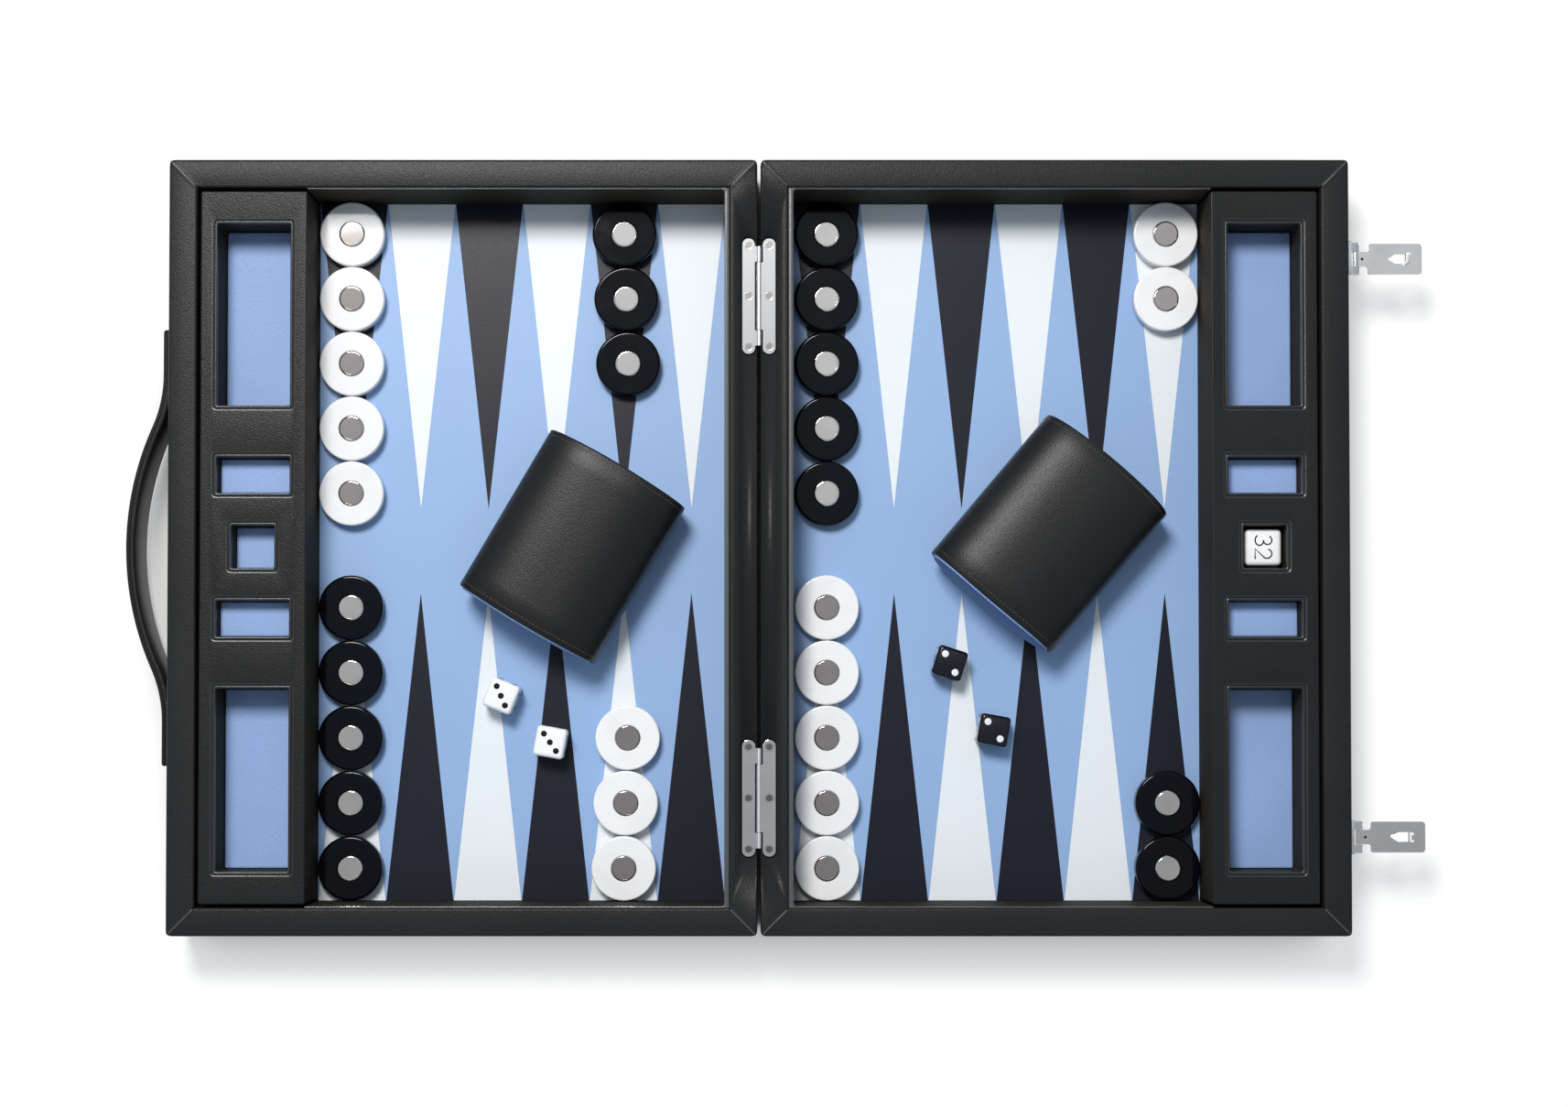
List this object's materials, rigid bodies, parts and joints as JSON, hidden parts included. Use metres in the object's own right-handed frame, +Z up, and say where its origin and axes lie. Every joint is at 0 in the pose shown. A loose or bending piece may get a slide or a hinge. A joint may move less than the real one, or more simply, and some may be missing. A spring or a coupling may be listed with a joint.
{
  "type": "backgammon set",
  "caption": "Folding leather backgammon case lying open, with inlaid points, side trays, hinges, latches, a handle, loose checkers, dice, cups and a doubling cube",
  "frame": {"origin": "centre of the object's bounding box in X and Y, at the underside the open case rests on", "axes": "+X runs across the hinge towards the half with the latches, +Y along the hinge towards the top of the board, +Z up from the table"},
  "size_m": [0.6712, 0.4, 0.0478],
  "materials": {
    "black_leather": "fine pebbled grain, satin",
    "smooth_black_leather": "smooth calf, satin",
    "blue_leather": "fine grain, matt",
    "white_leather": "fine grain, matt",
    "navy_leather": "fine grain, matt",
    "nickel_plate": "polished",
    "white_checker": "gloss",
    "black_checker": "gloss",
    "white_dice": "gloss",
    "black_dice": "gloss"
  },
  "bodies": {
    "right_half": {"right_case": "black_leather", "right_field": "blue_leather", "right_light_points": "white_leather", "right_dark_points": "navy_leather", "right_tray": "black_leather", "right_tray_linings": "blue_leather", "right_hinge_leaves": "nickel_plate", "hinge_pins": "nickel_plate", "latch_bases": "nickel_plate", "latch_pins": "nickel_plate"},
    "left_half": {"left_case": "black_leather", "left_field": "blue_leather", "left_light_points": "white_leather", "left_dark_points": "navy_leather", "left_tray": "black_leather", "left_tray_linings": "blue_leather", "left_hinge_leaves": "nickel_plate", "catches": "nickel_plate", "handle_strap": "black_leather"},
    "upper_hasp": {"upper_hasp": "nickel_plate"},
    "lower_hasp": {"lower_hasp": "nickel_plate"},
    "left_cup": {"left_cup": "smooth_black_leather", "left_cup_lining": "blue_leather"},
    "right_cup": {"right_cup": "smooth_black_leather", "right_cup_lining": "blue_leather"},
    "white_checker_01": {"white_checker_01": "white_checker"},
    "white_checker_02": {"white_checker_02": "white_checker"},
    "white_checker_03": {"white_checker_03": "white_checker"},
    "white_checker_04": {"white_checker_04": "white_checker"},
    "white_checker_05": {"white_checker_05": "white_checker"},
    "black_checker_01": {"black_checker_01": "black_checker"},
    "black_checker_02": {"black_checker_02": "black_checker"},
    "black_checker_03": {"black_checker_03": "black_checker"},
    "black_checker_04": {"black_checker_04": "black_checker"},
    "black_checker_05": {"black_checker_05": "black_checker"},
    "black_checker_06": {"black_checker_06": "black_checker"},
    "black_checker_07": {"black_checker_07": "black_checker"},
    "black_checker_08": {"black_checker_08": "black_checker"},
    "white_checker_06": {"white_checker_06": "white_checker"},
    "white_checker_07": {"white_checker_07": "white_checker"},
    "white_checker_08": {"white_checker_08": "white_checker"},
    "white_die_one": {"white_die_one": "white_dice"},
    "white_die_two": {"white_die_two": "white_dice"},
    "black_checker_09": {"black_checker_09": "black_checker"},
    "black_checker_10": {"black_checker_10": "black_checker"},
    "black_checker_11": {"black_checker_11": "black_checker"},
    "black_checker_12": {"black_checker_12": "black_checker"},
    "black_checker_13": {"black_checker_13": "black_checker"},
    "white_checker_09": {"white_checker_09": "white_checker"},
    "white_checker_10": {"white_checker_10": "white_checker"},
    "white_checker_11": {"white_checker_11": "white_checker"},
    "white_checker_12": {"white_checker_12": "white_checker"},
    "white_checker_13": {"white_checker_13": "white_checker"},
    "white_checker_14": {"white_checker_14": "white_checker"},
    "white_checker_15": {"white_checker_15": "white_checker"},
    "black_checker_14": {"black_checker_14": "black_checker"},
    "black_checker_15": {"black_checker_15": "black_checker"},
    "black_die_one": {"black_die_one": "black_dice"},
    "black_die_two": {"black_die_two": "black_dice"},
    "doubling_cube": {"doubling_cube": "white_dice"}
  },
  "joints": [
    {"name": "fold", "type": "hinge", "parent": "right_half", "child": "left_half", "pos_m": [-0.00775, 0, 0.04665], "axis": [0, 1, 0], "range_deg": [0, 180]},
    {"name": "upper_hasp_swing", "type": "hinge", "parent": "right_half", "child": "upper_hasp", "pos_m": [0.30125, 0.1494, 0.0395], "axis": [0, -1, 0], "range_deg": [0, 90]},
    {"name": "lower_hasp_swing", "type": "hinge", "parent": "right_half", "child": "lower_hasp", "pos_m": [0.30125, -0.1494, 0.0395], "axis": [0, -1, 0], "range_deg": [0, 90]},
    {"name": "left_cup_lift", "type": "slide", "parent": "left_half", "child": "left_cup", "axis": [0, 0, -1], "range_m": [-0.06, 0]},
    {"name": "right_cup_lift", "type": "slide", "parent": "right_half", "child": "right_cup", "axis": [0, 0, -1], "range_m": [-0.06, 0]},
    {"name": "white_checker_01_lift", "type": "slide", "parent": "left_half", "child": "white_checker_01", "axis": [0, 0, -1], "range_m": [-0.06, 0]},
    {"name": "white_checker_02_lift", "type": "slide", "parent": "left_half", "child": "white_checker_02", "axis": [0, 0, -1], "range_m": [-0.06, 0]},
    {"name": "white_checker_03_lift", "type": "slide", "parent": "left_half", "child": "white_checker_03", "axis": [0, 0, -1], "range_m": [-0.06, 0]},
    {"name": "white_checker_04_lift", "type": "slide", "parent": "left_half", "child": "white_checker_04", "axis": [0, 0, -1], "range_m": [-0.06, 0]},
    {"name": "white_checker_05_lift", "type": "slide", "parent": "left_half", "child": "white_checker_05", "axis": [0, 0, -1], "range_m": [-0.06, 0]},
    {"name": "black_checker_01_lift", "type": "slide", "parent": "left_half", "child": "black_checker_01", "axis": [0, 0, -1], "range_m": [-0.06, 0]},
    {"name": "black_checker_02_lift", "type": "slide", "parent": "left_half", "child": "black_checker_02", "axis": [0, 0, -1], "range_m": [-0.06, 0]},
    {"name": "black_checker_03_lift", "type": "slide", "parent": "left_half", "child": "black_checker_03", "axis": [0, 0, -1], "range_m": [-0.06, 0]},
    {"name": "black_checker_04_lift", "type": "slide", "parent": "left_half", "child": "black_checker_04", "axis": [0, 0, -1], "range_m": [-0.06, 0]},
    {"name": "black_checker_05_lift", "type": "slide", "parent": "left_half", "child": "black_checker_05", "axis": [0, 0, -1], "range_m": [-0.06, 0]},
    {"name": "black_checker_06_lift", "type": "slide", "parent": "left_half", "child": "black_checker_06", "axis": [0, 0, -1], "range_m": [-0.06, 0]},
    {"name": "black_checker_07_lift", "type": "slide", "parent": "left_half", "child": "black_checker_07", "axis": [0, 0, -1], "range_m": [-0.06, 0]},
    {"name": "black_checker_08_lift", "type": "slide", "parent": "left_half", "child": "black_checker_08", "axis": [0, 0, -1], "range_m": [-0.06, 0]},
    {"name": "white_checker_06_lift", "type": "slide", "parent": "left_half", "child": "white_checker_06", "axis": [0, 0, -1], "range_m": [-0.06, 0]},
    {"name": "white_checker_07_lift", "type": "slide", "parent": "left_half", "child": "white_checker_07", "axis": [0, 0, -1], "range_m": [-0.06, 0]},
    {"name": "white_checker_08_lift", "type": "slide", "parent": "left_half", "child": "white_checker_08", "axis": [0, 0, -1], "range_m": [-0.06, 0]},
    {"name": "white_die_one_lift", "type": "slide", "parent": "left_half", "child": "white_die_one", "axis": [0, 0, -1], "range_m": [-0.06, 0]},
    {"name": "white_die_two_lift", "type": "slide", "parent": "left_half", "child": "white_die_two", "axis": [0, 0, -1], "range_m": [-0.06, 0]},
    {"name": "black_checker_09_lift", "type": "slide", "parent": "right_half", "child": "black_checker_09", "axis": [0, 0, -1], "range_m": [-0.06, 0]},
    {"name": "black_checker_10_lift", "type": "slide", "parent": "right_half", "child": "black_checker_10", "axis": [0, 0, -1], "range_m": [-0.06, 0]},
    {"name": "black_checker_11_lift", "type": "slide", "parent": "right_half", "child": "black_checker_11", "axis": [0, 0, -1], "range_m": [-0.06, 0]},
    {"name": "black_checker_12_lift", "type": "slide", "parent": "right_half", "child": "black_checker_12", "axis": [0, 0, -1], "range_m": [-0.06, 0]},
    {"name": "black_checker_13_lift", "type": "slide", "parent": "right_half", "child": "black_checker_13", "axis": [0, 0, -1], "range_m": [-0.06, 0]},
    {"name": "white_checker_09_lift", "type": "slide", "parent": "right_half", "child": "white_checker_09", "axis": [0, 0, -1], "range_m": [-0.06, 0]},
    {"name": "white_checker_10_lift", "type": "slide", "parent": "right_half", "child": "white_checker_10", "axis": [0, 0, -1], "range_m": [-0.06, 0]},
    {"name": "white_checker_11_lift", "type": "slide", "parent": "right_half", "child": "white_checker_11", "axis": [0, 0, -1], "range_m": [-0.06, 0]},
    {"name": "white_checker_12_lift", "type": "slide", "parent": "right_half", "child": "white_checker_12", "axis": [0, 0, -1], "range_m": [-0.06, 0]},
    {"name": "white_checker_13_lift", "type": "slide", "parent": "right_half", "child": "white_checker_13", "axis": [0, 0, -1], "range_m": [-0.06, 0]},
    {"name": "white_checker_14_lift", "type": "slide", "parent": "right_half", "child": "white_checker_14", "axis": [0, 0, -1], "range_m": [-0.06, 0]},
    {"name": "white_checker_15_lift", "type": "slide", "parent": "right_half", "child": "white_checker_15", "axis": [0, 0, -1], "range_m": [-0.06, 0]},
    {"name": "black_checker_14_lift", "type": "slide", "parent": "right_half", "child": "black_checker_14", "axis": [0, 0, -1], "range_m": [-0.06, 0]},
    {"name": "black_checker_15_lift", "type": "slide", "parent": "right_half", "child": "black_checker_15", "axis": [0, 0, -1], "range_m": [-0.06, 0]},
    {"name": "black_die_one_lift", "type": "slide", "parent": "right_half", "child": "black_die_one", "axis": [0, 0, -1], "range_m": [-0.06, 0]},
    {"name": "black_die_two_lift", "type": "slide", "parent": "right_half", "child": "black_die_two", "axis": [0, 0, -1], "range_m": [-0.06, 0]},
    {"name": "doubling_cube_lift", "type": "slide", "parent": "right_half", "child": "doubling_cube", "axis": [0, 0, -1], "range_m": [-0.06, 0]}
  ]
}
